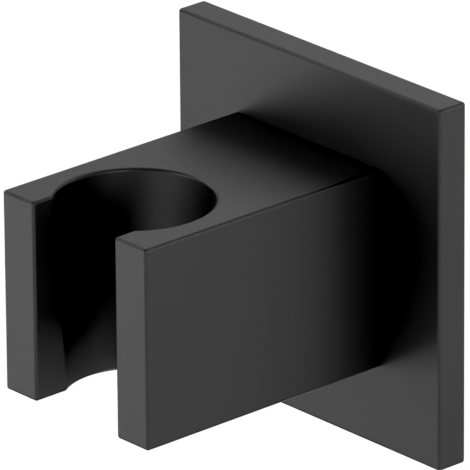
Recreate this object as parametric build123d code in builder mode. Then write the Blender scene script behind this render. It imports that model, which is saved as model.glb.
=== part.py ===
"""Square hand shower holder for a wall, with a hidden fixing.

A forked block with a tapered socket stands on a square plate. Behind the plate a flat bracket is
screwed to the wall, and the post on it enters the block, where a grub screw from below locks it.

Millimetres, +Z up. The wall is the plane y = 0 and the holder stands out from it towards -Y.
The origin is the middle of the plate's back.
"""

import os
from math import radians, tan

from build123d import *

# Tapered socket for the hand shower's cone, and the slot that lets the hose in from the front
socket_top_diameter = 25.0
socket_taper = 2.6
fork_grip = 1.85
fork_tip = 4.1

# Block around the socket
cheek_wall = 4.05
wall_behind_socket = 8.6
body_height = 33.1
body_edge_round = 0.5

# Wall bracket, a flat strip, and the post riveted into it
bracket_thickness = 2.5
bracket_side_margin = 2.0
bracket_corner = 3.0
bracket_edge_round = 0.3
wall_hole_diameter = 4.5
wall_hole_sink_diameter = 8.0
wall_hole_to_end = 7.0
post_diameter = 14.0
post_nose = 6.0
post_tip_chamfer = 1.0
post_groove_depth = 1.2
tenon_diameter = 8.0
rivet_diameter = 10.0

# Square plate that hides the bracket
plate_side = 60.0
plate_skin = 2.5
plate_rim = 6.0
plate_edge_round = 0.5
pocket_corner = 4.0

# Grub screw in the underside of the block
grub_diameter = 5.0
grub_from_plate = 8.0
grub_recess = 0.8
grub_key_size = 2.5
grub_key_depth = 3.0
grub_tip_diameter = 1.0
grub_end_chamfer = 0.4

# Countersunk screws that hold the plate on the block
plate_screw_diameter = 3.0
plate_screw_head_diameter = 5.4
plate_screw_head_land = 0.15
plate_screw_length = 8.0
plate_screw_key_size = 2.0
plate_screw_key_depth = 0.9

# Clearances and lead-ins
bracket_end_gap = 2.0
bracket_face_gap = 0.5
post_clearance = 0.1
post_end_gap = 0.5
post_window_gap = 0.5
screw_clearance = 0.05
screw_end_gap = 0.5
groove_gap = 0.1
hole_lead_in = 0.4

# Included angle of the countersinks, of the grub screw's point and of the groove that it enters
sink_angle = 90

# Sizes that follow from those above
sink_slope = tan(radians(sink_angle / 2))
pocket_depth = bracket_thickness + bracket_face_gap
plate_thickness = pocket_depth + plate_skin
pocket_side = plate_side - 2 * plate_rim
bracket_length = pocket_side - 2 * bracket_end_gap
bracket_width = post_diameter + 2 * bracket_side_margin
wall_hole_spacing = bracket_length - 2 * wall_hole_to_end

post_radius = post_diameter / 2
post_hole_radius = post_radius + post_clearance
post_hole_depth = grub_from_plate + post_nose + post_end_gap
grub_from_wall = plate_thickness + grub_from_plate
post_tip_from_wall = grub_from_wall + post_nose

socket_top_radius = socket_top_diameter / 2
socket_bottom_radius = socket_top_radius - socket_taper / 2
slot_half_width = socket_bottom_radius - fork_grip
socket_to_front = (socket_top_radius**2 - slot_half_width**2) ** 0.5 + fork_tip
body_width = socket_top_diameter + 2 * cheek_wall
body_length = post_hole_depth + wall_behind_socket + socket_top_radius + socket_to_front
socket_from_wall = plate_thickness + body_length - socket_to_front
plate_screw_offset = (post_hole_radius + body_width / 2) / 2
plate_screw_sink_radius = (
    plate_screw_head_diameter / 2 + plate_screw_head_land * sink_slope + screw_clearance
)

# Fork body: a square bar, bored with a taper from below and slotted through to the front
with BuildPart() as fork_body:
    with BuildSketch(Plane.XZ.offset(plate_thickness)):
        Rectangle(body_width, body_height)
    extrude(amount=body_length)
    with Locations((0, -socket_from_wall, 0)):
        Cone(
            socket_bottom_radius,
            socket_top_radius,
            body_height,
            rotation=(0, 0, -90),
            mode=Mode.SUBTRACT,
        )
    with BuildSketch(Plane.XZ.offset(socket_from_wall)):
        Rectangle(2 * slot_half_width, 2 * body_height)
    extrude(amount=2 * socket_to_front, mode=Mode.SUBTRACT)

    # Every edge in front of the plate is rounded alike: the bar's own, the slot's and the socket's rims
    exposed_edges = fork_body.edges().filter_by_position(
        Axis.Y,
        -2 * socket_from_wall,
        -plate_thickness,
        inclusive=(True, False),
    )
    fillet(exposed_edges, body_edge_round)

    # Holes in the back for the bracket's post and the two plate screws
    with Locations(Plane.ZX.offset(-plate_thickness)):
        CounterSinkHole(
            post_hole_radius,
            post_hole_radius + hole_lead_in,
            post_hole_depth,
            sink_angle,
        )
        with GridLocations(0, 2 * plate_screw_offset, 1, 2):
            Hole(
                plate_screw_diameter / 2 + screw_clearance,
                plate_screw_length - plate_skin + screw_end_gap,
            )

    # Grub screw hole from the underside up into the post's hole
    underside = Plane(origin=(0, -grub_from_wall, -body_height / 2), z_dir=(0, 0, -1))
    with Locations(underside):
        grub_hole_radius = grub_diameter / 2 + screw_clearance
        CounterSinkHole(
            grub_hole_radius,
            grub_hole_radius + hole_lead_in,
            body_height / 2,
            sink_angle,
        )

# Wall plate: a square plate with a rear pocket for the bracket
with BuildPart() as wall_plate:
    with BuildSketch(Plane.XZ):
        Rectangle(plate_side, plate_side)
    extrude(amount=plate_thickness)
    fillet(wall_plate.edges(), plate_edge_round)

    with BuildSketch(Plane.XZ):
        RectangleRounded(pocket_side, pocket_side, pocket_corner)
    extrude(amount=pocket_depth, mode=Mode.SUBTRACT)

    # Window for the post, and countersunk holes for the screws into the block
    with Locations(Plane.ZX.offset(-pocket_depth)):
        Hole(post_radius + post_window_gap, 2 * plate_skin)
        with GridLocations(0, 2 * plate_screw_offset, 1, 2):
            CounterSinkHole(
                plate_screw_diameter / 2 + screw_clearance,
                plate_screw_sink_radius,
                2 * plate_skin,
                sink_angle,
            )

# One plate screw, with its head's face at the origin and its shank down -Z
with BuildPart() as plate_screw:
    head_radius = plate_screw_head_diameter / 2
    shank_radius = plate_screw_diameter / 2
    head_height = plate_screw_head_land + (head_radius - shank_radius) / sink_slope
    with BuildSketch(Plane.XZ):
        with BuildLine():
            Polyline(
                (0, 0),
                (head_radius, 0),
                (head_radius, -plate_screw_head_land),
                (shank_radius, -head_height),
                (shank_radius, -plate_screw_length),
                (0, -plate_screw_length),
                close=True,
            )
        make_face()
    revolve(axis=Axis.Z)
    with BuildSketch():
        RegularPolygon(plate_screw_key_size / 2, 6, major_radius=False)
    extrude(amount=-plate_screw_key_depth, mode=Mode.SUBTRACT)

# The pair of plate screws, heads flush with the floor of the plate's pocket
with BuildPart() as plate_screws:
    with Locations(Plane.ZX.offset(-pocket_depth)):
        with GridLocations(0, 2 * plate_screw_offset, 1, 2):
            add(plate_screw.part)

# Wall bracket: a stamped strip, countersunk in front for the wall screws, behind for the rivet
with BuildPart() as wall_bracket:
    with BuildSketch(Plane.XZ):
        RectangleRounded(bracket_width, bracket_length, bracket_corner)
    extrude(amount=bracket_thickness)
    fillet(wall_bracket.faces().filter_by(Axis.Y).edges(), bracket_edge_round)
    with Locations(Plane.XZ.offset(bracket_thickness)):
        with GridLocations(0, wall_hole_spacing, 1, 2):
            CounterSinkHole(
                wall_hole_diameter / 2,
                wall_hole_sink_diameter / 2,
                2 * bracket_thickness,
                sink_angle,
            )
    with Locations(Plane.ZX):
        CounterSinkHole(
            tenon_diameter / 2,
            rivet_diameter / 2,
            2 * bracket_thickness,
            sink_angle,
        )

# Mounting post: turned, with a tenon riveted over behind the bracket and a groove for the grub screw
with BuildPart() as mounting_post:
    tenon_radius = tenon_diameter / 2
    rivet_radius = rivet_diameter / 2
    groove_half_width = post_groove_depth * sink_slope
    with BuildSketch(Plane.XY):
        with BuildLine():
            Polyline(
                (0, 0),
                (rivet_radius, 0),
                (tenon_radius, (tenon_radius - rivet_radius) / sink_slope),
                (tenon_radius, -bracket_thickness),
                (post_radius, -bracket_thickness),
                (post_radius, groove_half_width - grub_from_wall),
                (post_radius - post_groove_depth, -grub_from_wall),
                (post_radius, -groove_half_width - grub_from_wall),
                (post_radius, post_tip_chamfer - post_tip_from_wall),
                (post_radius - post_tip_chamfer, -post_tip_from_wall),
                (0, -post_tip_from_wall),
                close=True,
            )
        make_face()
    revolve(axis=Axis.Y)

# Grub screw: hex socket below, cone point in the post's groove above
with BuildPart() as grub_screw:
    grub_radius = grub_diameter / 2
    tip_radius = grub_tip_diameter / 2
    grub_bottom = grub_recess - body_height / 2
    cone_apex = post_groove_depth - post_radius - groove_gap
    with BuildSketch(Plane.XZ.offset(grub_from_wall)):
        with BuildLine():
            Polyline(
                (0, grub_bottom),
                (grub_radius - grub_end_chamfer, grub_bottom),
                (grub_radius, grub_bottom + grub_end_chamfer),
                (grub_radius, cone_apex - grub_radius / sink_slope),
                (tip_radius, cone_apex - tip_radius / sink_slope),
                (0, cone_apex - tip_radius / sink_slope),
                close=True,
            )
        make_face()
    revolve(axis=Axis((0, -grub_from_wall, 0), (0, 0, 1)))
    with BuildSketch(Plane.XY.offset(grub_bottom)):
        with Locations((0, -grub_from_wall)):
            RegularPolygon(grub_key_size / 2, 6, major_radius=False)
    extrude(amount=grub_key_depth, mode=Mode.SUBTRACT)

fork_body.part.label = "fork_body"
wall_plate.part.label = "wall_plate"
plate_screws.part.label = "plate_screws"
wall_bracket.part.label = "wall_bracket"
mounting_post.part.label = "mounting_post"
grub_screw.part.label = "grub_screw"

os.makedirs("parts", exist_ok=True)
export_step(fork_body.part, "parts/fork_body.step")
export_step(wall_plate.part, "parts/wall_plate.step")
export_step(plate_screws.part, "parts/plate_screws.step")
export_step(wall_bracket.part, "parts/wall_bracket.step")
export_step(mounting_post.part, "parts/mounting_post.step")
export_step(grub_screw.part, "parts/grub_screw.step")
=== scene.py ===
from math import cos, radians, sin

import bpy
from mathutils import Matrix, Vector

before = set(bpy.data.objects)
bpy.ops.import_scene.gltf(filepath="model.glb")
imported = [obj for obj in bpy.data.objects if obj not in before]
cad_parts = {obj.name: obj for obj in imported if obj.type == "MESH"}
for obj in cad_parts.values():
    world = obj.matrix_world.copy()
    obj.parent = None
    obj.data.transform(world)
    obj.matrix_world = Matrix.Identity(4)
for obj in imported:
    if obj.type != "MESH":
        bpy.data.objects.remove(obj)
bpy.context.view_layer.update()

# Wall bracket
# A flat strip stamped from zinc-plated steel sheet. Two countersunk holes take the wall screws, and the
# tumbling after stamping leaves its edges soft and its faces dull, with fine lines along the strip.
zinc_color = (0.52, 0.53, 0.54)
zinc_dark = (0.42, 0.43, 0.44)
zinc_light = (0.62, 0.63, 0.64)
rolled_line_width = 0.0004
rolled_line_depth = 0.000004
along_strip = (1, 1, 0.04)

# A finish runs through its whole range between these two values of its noise.
noise_low = 0.3
noise_high = 0.7
noise_detail = 3


def shader_of(material):
    """The shader that gives a material its look."""
    return material.node_tree.nodes["Principled BSDF"]


def new_material(name, color, metallic, roughness):
    """A material whose shader has these mean values."""
    material = bpy.data.materials.new(name)
    material.use_nodes = True
    shader = shader_of(material)
    shader.inputs["Base Color"].default_value = (*color, 1)
    shader.inputs["Metallic"].default_value = metallic
    shader.inputs["Roughness"].default_value = roughness
    return material


def object_noise(material, feature_size, stretch=(1, 1, 1), detail=noise_detail):
    """Noise in the object's own space, with features of about this size in metres."""
    nodes = material.node_tree.nodes
    links = material.node_tree.links
    coordinates = nodes.new("ShaderNodeTexCoord")
    mapping = nodes.new("ShaderNodeMapping")
    mapping.inputs["Scale"].default_value = stretch
    noise = nodes.new("ShaderNodeTexNoise")
    noise.inputs["Scale"].default_value = 1 / feature_size
    noise.inputs["Detail"].default_value = detail
    links.new(coordinates.outputs["Object"], mapping.inputs["Vector"])
    links.new(mapping.outputs["Vector"], noise.inputs["Vector"])
    return noise.outputs["Fac"]


def vary_color(material, noise, dark, light):
    """Lets the colour run from dark to light along the noise."""
    links = material.node_tree.links
    ramp = material.node_tree.nodes.new("ShaderNodeValToRGB")
    darker, lighter = ramp.color_ramp.elements
    darker.position = noise_low
    darker.color = (*dark, 1)
    lighter.position = noise_high
    lighter.color = (*light, 1)
    links.new(noise, ramp.inputs["Fac"])
    links.new(ramp.outputs["Color"], shader_of(material).inputs["Base Color"])


def vary_roughness(material, noise, low, high):
    """Lets the roughness run from low to high along the noise."""
    links = material.node_tree.links
    ramp = material.node_tree.nodes.new("ShaderNodeMapRange")
    ramp.inputs["From Min"].default_value = noise_low
    ramp.inputs["From Max"].default_value = noise_high
    ramp.inputs["To Min"].default_value = low
    ramp.inputs["To Max"].default_value = high
    links.new(noise, ramp.inputs["Value"])
    links.new(ramp.outputs["Result"], shader_of(material).inputs["Roughness"])


def emboss(material, noise, depth):
    """Bumps of this depth in metres where the noise is high."""
    links = material.node_tree.links
    bump = material.node_tree.nodes.new("ShaderNodeBump")
    bump.inputs["Distance"].default_value = depth
    links.new(noise, bump.inputs["Height"])
    links.new(bump.outputs["Normal"], shader_of(material).inputs["Normal"])


def dress(node, material):
    """Gives a CAD node its finish."""
    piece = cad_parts[node]
    piece.data.materials.clear()
    piece.data.materials.append(material)


zinc = new_material("zinc_plated_steel", zinc_color, metallic=1.0, roughness=0.4)
rolled_lines = object_noise(zinc, rolled_line_width, stretch=along_strip)
vary_color(zinc, rolled_lines, zinc_dark, zinc_light)
vary_roughness(zinc, rolled_lines, low=0.3, high=0.48)
emboss(zinc, rolled_lines, rolled_line_depth)
dress("wall_bracket", zinc)

# Mounting post
# A turned brass post. Its tenon goes through the bracket and is riveted over behind it, and the groove
# near its tip takes the point of the grub screw.
brass_color = (0.7, 0.51, 0.22)
brass_dark = (0.58, 0.41, 0.17)
brass_light = (0.82, 0.61, 0.27)
turning_line_width = 0.0004
turning_line_depth = 0.000003


def lathe_noise(material, feature_size, axis_offset=0.0):
    """Noise in rings around Y, on the middle axis or on two axes this far to its left and right."""
    nodes = material.node_tree.nodes
    links = material.node_tree.links
    coordinates = nodes.new("ShaderNodeTexCoord")
    split = nodes.new("ShaderNodeSeparateXYZ")
    side = nodes.new("ShaderNodeMath")
    side.operation = "ABSOLUTE"
    across = nodes.new("ShaderNodeMath")
    across.operation = "SUBTRACT"
    across.inputs[1].default_value = axis_offset
    from_axis = nodes.new("ShaderNodeCombineXYZ")
    radius = nodes.new("ShaderNodeVectorMath")
    radius.operation = "LENGTH"
    profile = nodes.new("ShaderNodeCombineXYZ")
    noise = nodes.new("ShaderNodeTexNoise")
    noise.inputs["Scale"].default_value = 1 / feature_size
    noise.inputs["Detail"].default_value = noise_detail
    links.new(coordinates.outputs["Object"], split.inputs["Vector"])
    links.new(split.outputs["X"], side.inputs[0])
    links.new(side.outputs["Value"], across.inputs[0])
    links.new(across.outputs["Value"], from_axis.inputs["X"])
    links.new(split.outputs["Z"], from_axis.inputs["Z"])
    links.new(from_axis.outputs["Vector"], radius.inputs[0])
    links.new(radius.outputs["Value"], profile.inputs["X"])
    links.new(split.outputs["Y"], profile.inputs["Y"])
    links.new(profile.outputs["Vector"], noise.inputs["Vector"])
    return noise.outputs["Fac"]


brass = new_material("turned_brass", brass_color, metallic=1.0, roughness=0.3)
turning_lines = lathe_noise(brass, turning_line_width)
vary_color(brass, turning_lines, brass_dark, brass_light)
vary_roughness(brass, turning_lines, low=0.24, high=0.38)
emboss(brass, turning_lines, turning_line_depth)
dress("mounting_post", brass)

# Wall plate
# A square plate milled from brass, with a pocket behind for the bracket. The matt black coat covers it
# all over: it is smooth to the eye, with a fine orange peel that only a close look shows.
coat_color = (0.0, 0.0, 0.0)
coat_specular = 1.0
coat_roughness = 0.48
coat_smoother = coat_roughness - 0.02
coat_rougher = coat_roughness + 0.02
orange_peel_size = 0.0006
orange_peel_depth = 0.0000015
coat = new_material("matt_black_coat", coat_color, metallic=0.0, roughness=coat_roughness)
orange_peel = object_noise(coat, orange_peel_size, detail=2)
vary_roughness(coat, orange_peel, coat_smoother, coat_rougher)
emboss(coat, orange_peel, orange_peel_depth)
shader_of(coat).inputs["Specular IOR Level"].default_value = coat_specular
dress("wall_plate", coat)

# Plate screws
# Two countersunk screws of bright steel, one on each side of the post, driven from behind with a hex key.
# They hold the plate square on the block, and their heads lie flush with the floor of its pocket.
screw_offset = 0.011825
steel_color = (0.55, 0.55, 0.56)
steel_dark = (0.47, 0.47, 0.48)
steel_light = (0.63, 0.63, 0.64)
facing_line_width = 0.0004
steel = new_material("bright_screw_steel", steel_color, metallic=1.0, roughness=0.3)
facing_lines = lathe_noise(steel, facing_line_width, screw_offset)
vary_color(steel, facing_lines, steel_dark, steel_light)
vary_roughness(steel, facing_lines, low=0.24, high=0.34)
dress("plate_screws", steel)

# Fork body
# A block sawn from square brass bar, bored with a taper from above and slotted to the front, with every
# edge rounded alike. It has the plate's coat.
dress("fork_body", coat)

# Grub screw
# A hex socket set screw of black oxidised steel in the block's underside. Its point bears on the post's
# groove, which pulls the block and the plate back against the wall.
oxide_color = (0.03, 0.03, 0.032)
oxide_grain_size = 0.0003
oxide = new_material("black_oxide_steel", oxide_color, metallic=0.6, roughness=0.4)
oxide_grain = object_noise(oxide, oxide_grain_size)
vary_roughness(oxide, oxide_grain, low=0.32, high=0.46)
dress("grub_screw", oxide)

# Studio
# A pale floor well below the holder under an even white sky. Both are kept out of reflections, so the
# black coat shows only the soft square lights around it, and stays dark where none of them stands.
floor_drop = 2.4
floor_half = 40.0
paper_color = (0.85, 0.85, 0.85)
paper_specular = 0.0
floor_mesh = bpy.data.meshes.new("floor")
floor_mesh.from_pydata(
    [
        (-floor_half, -floor_half, -floor_drop),
        (floor_half, -floor_half, -floor_drop),
        (floor_half, floor_half, -floor_drop),
        (-floor_half, floor_half, -floor_drop),
    ],
    [],
    [(0, 1, 2, 3)],
)
floor = bpy.data.objects.new("floor", floor_mesh)
floor.visible_glossy = False
bpy.context.scene.collection.objects.link(floor)
pale_paper = new_material("pale_paper", paper_color, metallic=0.0, roughness=0.9)
shader_of(pale_paper).inputs["Specular IOR Level"].default_value = paper_specular
floor_mesh.materials.append(pale_paper)

sky_color = (1.0, 1.0, 1.0)
sky_strength = 1.2
world = bpy.data.worlds.new("studio")
bpy.context.scene.world = world
world.use_nodes = True
sky = world.node_tree.nodes["Background"]
sky.inputs["Color"].default_value = (*sky_color, 1)
sky.inputs["Strength"].default_value = sky_strength
world.cycles_visibility.glossy = False


def direction(azimuth, elevation):
    """The unit vector from the holder towards this azimuth and elevation in degrees."""
    az = radians(azimuth)
    el = radians(elevation)
    return Vector((sin(az) * cos(el), -cos(az) * cos(el), sin(el)))


def softbox(name, azimuth, elevation, distance, power):
    """A square light, half as wide as its distance, that faces the holder from this direction."""
    towards = direction(azimuth, elevation)
    light = bpy.data.lights.new(name, "AREA")
    light.size = distance / 2
    light.energy = power
    lamp = bpy.data.objects.new(name, light)
    lamp.location = towards * distance
    lamp.rotation_mode = "QUATERNION"
    lamp.rotation_quaternion = towards.to_track_quat("Z", "Y")
    lamp.visible_camera = False
    bpy.context.scene.collection.objects.link(lamp)


# Directions are in degrees, counted as a view's are, and powers in watts. The light of the near ones
# falls off across a face.
near = 0.5
far = 2.0
softbox("front_low_softbox", 12, -18, near, 0.219)
softbox("front_right_low_softbox", 42, -18, far, 2.07)
softbox("right_front_low_softbox", 72, -18, near, 0.056)
softbox("right_front_level_softbox", 72, 6, far, 14.02)
softbox("right_deep_softbox", 102, -62, far, 9.39)
softbox("right_low_softbox", 102, -18, near, 0.149)
softbox("right_back_low_softbox", 132, -18, near, 0.125)
softbox("right_back_level_softbox", 132, 6, far, 6.31)
softbox("back_right_low_softbox", 162, -18, far, 2.51)
softbox("back_right_level_softbox", 162, 6, far, 5.96)
softbox("back_right_high_softbox", 162, 32, far, 4.7)
softbox("back_low_softbox", 192, -18, far, 1.1)
softbox("back_steep_softbox", 192, 60, far, 2.6)
softbox("back_left_below_softbox", 222, -40, far, 8.0)
softbox("back_left_high_softbox", 222, 32, far, 4.64)
softbox("left_back_low_softbox", 252, -18, far, 12.0)
softbox("left_back_high_softbox", 252, 32, far, 1.85)
softbox("left_high_softbox", 282, 32, far, 7.88)
softbox("left_front_low_softbox", 312, -18, near, 0.368)
softbox("front_left_below_softbox", 342, -40, far, 3.85)
softbox("front_left_level_softbox", 342, 6, near, 0.607)
softbox("front_left_high_softbox", 342, 32, far, 2.0)
softbox("overhead_softbox", 0, 89, far, 3.0)

# The picture's darkest tones are pulled down to black, as in the photo.
black_level = 0.012
view_settings = bpy.context.scene.view_settings
view_settings.view_transform = "Standard"
view_settings.use_curve_mapping = True
view_settings.curve_mapping.black_level = (black_level, black_level, black_level)

# Camera
# A long lens, far off, so that the block's edges stay almost parallel as in the photo.
camera_azimuth = 48.243
camera_elevation = 22.340
camera_roll = -0.464
camera_distance = 1.3726
camera_target = Vector((-0.000740, -0.02, 0.004459))
focal_pixels = 8889.1
image_pixels = 470
sensor_width = 36.0

camera_data = bpy.data.cameras.new("camera")
camera_data.sensor_width = sensor_width
camera_data.lens = focal_pixels / image_pixels * sensor_width
camera_data.clip_start = 0.1
camera_data.clip_end = 100
camera = bpy.data.objects.new("camera", camera_data)
back = direction(camera_azimuth, camera_elevation)
upright = (-back).to_track_quat("-Z", "Y").to_matrix()
roll = Matrix.Rotation(radians(camera_roll), 3, "Z")
camera.rotation_mode = "QUATERNION"
camera.rotation_quaternion = (upright @ roll).to_quaternion()
camera.location = camera_target + back * camera_distance
bpy.context.scene.collection.objects.link(camera)
bpy.context.scene.camera = camera
